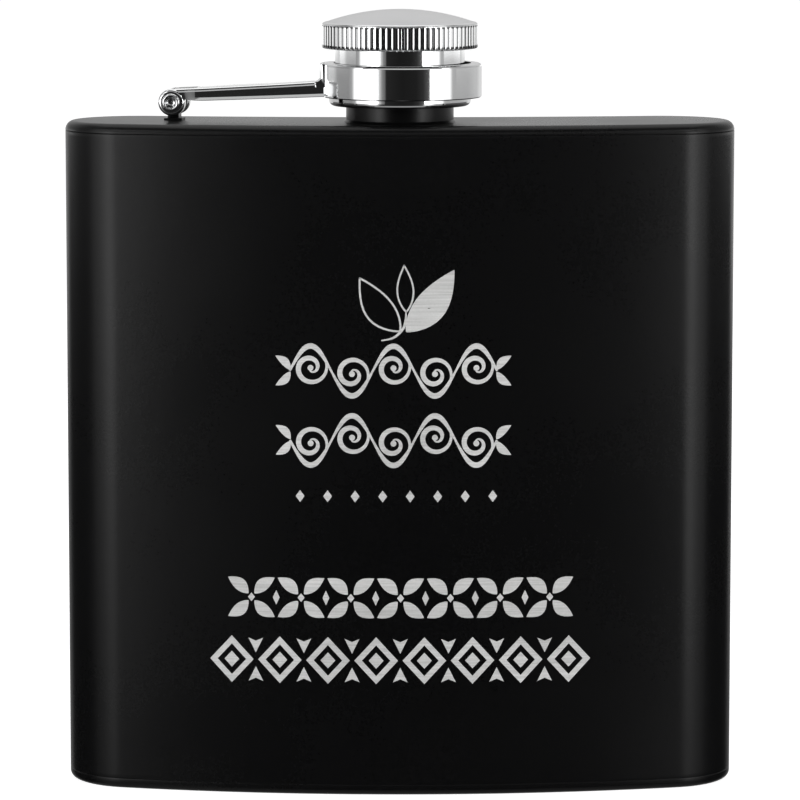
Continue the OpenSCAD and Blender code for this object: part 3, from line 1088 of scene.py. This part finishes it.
def panel(name, azs, zs, r=0.6, gloss_only=False):
    """Curved panel round the object. azs lists (azimuth, level), 0 towards the front and positive to +X;
    zs lists (height, share of the level)."""
    def table(x, tab):
        if x <= tab[0][0]:
            return tab[0][1]
        return lerp_table(x, tab)
    az0, az1 = azs[0][0], azs[-1][0]
    z0, z1 = zs[0][0], zs[-1][0]
    n = max(12, int(az1 - az0))
    rows_z = sorted(set([round(z0 + (z1 - z0) * j / 24, 6) for j in range(25)] + [round(q[0], 6) for q in zs]))
    m_ = len(rows_z) - 1
    v, f, lev = [], [], []
    for i in range(n + 1):
        az = az0 + (az1 - az0) * i / n
        a = math.radians(az)
        for j in range(m_ + 1):
            z = rows_z[j]
            v.append((r * 1000 * math.sin(a), -r * 1000 * math.cos(a), z * 1000))
            lev.append(table(az, azs) * table(z, zs))
    for i in range(n):
        for j in range(m_):
            q = i * (m_ + 1) + j
            f.append([q, q + 1, q + m_ + 2, q + m_ + 1])
    ob = new_mesh(name, v, f, True, (lamp(name),))
    at = ob.data.attributes.new("level", "FLOAT", "POINT")
    for i, x in enumerate(lev):
        at.data[i].value = x
    ob.visible_camera = False
    ob.visible_shadow = False
    ob.visible_transmission = False
    if gloss_only:
        ob.visible_diffuse = False
    return ob


FADE_L = [(-0.22, 0.04), (-0.14, 0.13), (-0.04, 0.30), (0.06, 1.0), (0.62, 1.0)]
FADE_R = [(-0.22, 0.05), (-0.14, 0.15), (-0.04, 0.46), (0.06, 1.0), (0.62, 1.0)]
panel("box_left", [(-84, 0.3), (-77, 0.45), (-73, 1.25), (-62, 1.5), (-54, 2.6), (-47, 4.6), (-40, 4.6), (-37, 2.6), (-34, 0.8), (-29, 0.26), (-22, 0.07)], FADE_L)
panel("box_right", [(38, 0.3), (40, 2.4), (42, 4.6), (48, 4.6), (54, 3.0), (61, 1.6), (72, 1.3), (77, 0.5), (84, 0.45)], FADE_R)
for sd in (-1, 1):
    side = [(-134, 0.6), (-118, 0.55), (-108, 0.31), (-84, 0.29)] if sd < 0 else [(84, 0.47), (108, 0.46), (126, 0.55), (134, 0.6)]
    panel("side_%s" % ("left" if sd < 0 else "right"), side,
          [(0.0555, 0.1), (0.0595, 1.0), (0.0725, 1.0), (0.0755, 2.6), (0.12, 2.6), (0.14, 0.9), (0.6, 0.9)])
    az = sorted((sd * 76, sd * 140))
    panel("side_flag_%s" % ("left" if sd < 0 else "right"), [(az[0], 0.02), (az[1], 0.02)], [(-0.6, 1.0), (0.0555, 1.0)], 0.58, True)
panel("back_light", [(134, 0.55), (150, 0.75), (200, 0.75), (226, 0.55)], [(0.0, 1.0), (0.0725, 1.0), (0.0755, 1.5), (0.12, 1.5), (0.128, 0.8), (0.26, 0.85), (0.4, 1.0), (0.7, 1.0)])
panel("flag_front", [(-24, 0.02), (0, 0.012), (20, 0.015), (30, 0.03), (36, 0.08), (40, 0.16)], [(-0.5, 1.0), (0.225, 1.0)], 0.55, True)
panel("strip_high", [(-60, 0.3), (-40, 0.55), (35, 0.6), (60, 0.3)], [(0.24, 0.2), (0.27, 1.0), (0.36, 1.0), (0.40, 0.2)], 0.57, True)
panel("flag_high", [(-75, 0.02), (75, 0.02)], [(0.31, 1.0), (0.92, 1.0)], 0.3, True)

# overhead softbox
v = [(-450, -300, 800), (450, -300, 800), (450, 500, 800), (-450, 500, 800)]
top = new_mesh("box_top", v, [[0, 3, 2, 1]], False, (emit("box_top", 1.25),))
top.visible_camera = False
top.visible_shadow = False

# front fill, seen by matt surfaces only
ld = bpy.data.lights.new("fill", "AREA")
ld.shape = "RECTANGLE"
ld.size, ld.size_y = 0.9, 0.9
ld.energy = 3.2
lo = bpy.data.objects.new("fill", ld)
scene.collection.objects.link(lo)
lo.location = (0.1, -1.1, 0.55)
lo.rotation_euler = (Vector((0, 0, 0.06)) - Vector(lo.location)).to_track_quat("-Z", "Y").to_euler()
lo.visible_glossy = False
lo.visible_camera = False

w = bpy.data.worlds.new("studio")
scene.world = w
w.use_nodes = True
w.node_tree.nodes["Background"].inputs["Color"].default_value = (0.30, 0.30, 0.30, 1)
w.node_tree.nodes["Background"].inputs["Strength"].default_value = 1.0

# floor and the pale surround
fm = bpy.data.materials.new("floor")
fm.use_nodes = True
fb = fm.node_tree.nodes["Principled BSDF"]
fb.inputs["Base Color"].default_value = (0.5, 0.5, 0.5, 1)
fb.inputs["Roughness"].default_value = 0.9
fb.inputs["Emission Color"].default_value = (1, 1, 1, 1)
fb.inputs["Emission Strength"].default_value = 0.86
v, f = [], []
N = 96
for i in range(N):
    a = 2 * math.pi * i / N
    v.append((2900 * math.cos(a), 2900 * math.sin(a), 0))
floor = new_mesh("floor", v, [list(range(N))], False, (fm,))
floor.location.z = -0.00002
floor.visible_glossy = False
v, f = [], []
R = 3000
for i in range(N):
    a = 2 * math.pi * i / N
    for e in range(0, 13):
        el = math.radians(-6 + 96 * e / 12)
        v.append((R * math.cos(a) * math.cos(el), R * math.sin(a) * math.cos(el), R * math.sin(el)))
for i in range(N):
    for e in range(12):
        a, b = i * 13 + e, ((i + 1) % N) * 13 + e
        f.append([a, a + 1, b + 1, b])
sky = new_mesh("surround", v, f, True, (emit("surround", 1.05),))
for k in ("visible_glossy", "visible_diffuse", "visible_shadow", "visible_transmission", "visible_volume_scatter"):
    setattr(sky, k, False)

cam = bpy.data.cameras.new("cam")
cam.sensor_width = 36
F_PX = 4600.0
cam.lens = F_PX / 800 * 36
cam.shift_y = -0.04
cam.clip_start, cam.clip_end = 0.01, 20
co = bpy.data.objects.new("cam", cam)
scene.collection.objects.link(co)
scene.camera = co
co.location = (0.000013, -0.650577, 0.136768)
co.rotation_mode = "QUATERNION"
pitch = math.radians(6.7850)
co.rotation_quaternion = Vector((0, math.cos(pitch), -math.sin(pitch))).to_track_quat("-Z", "Y")

scene.view_settings.view_transform = "Standard"
scene.view_settings.look = "None"
scene.view_settings.exposure = 0
scene.view_settings.gamma = 1
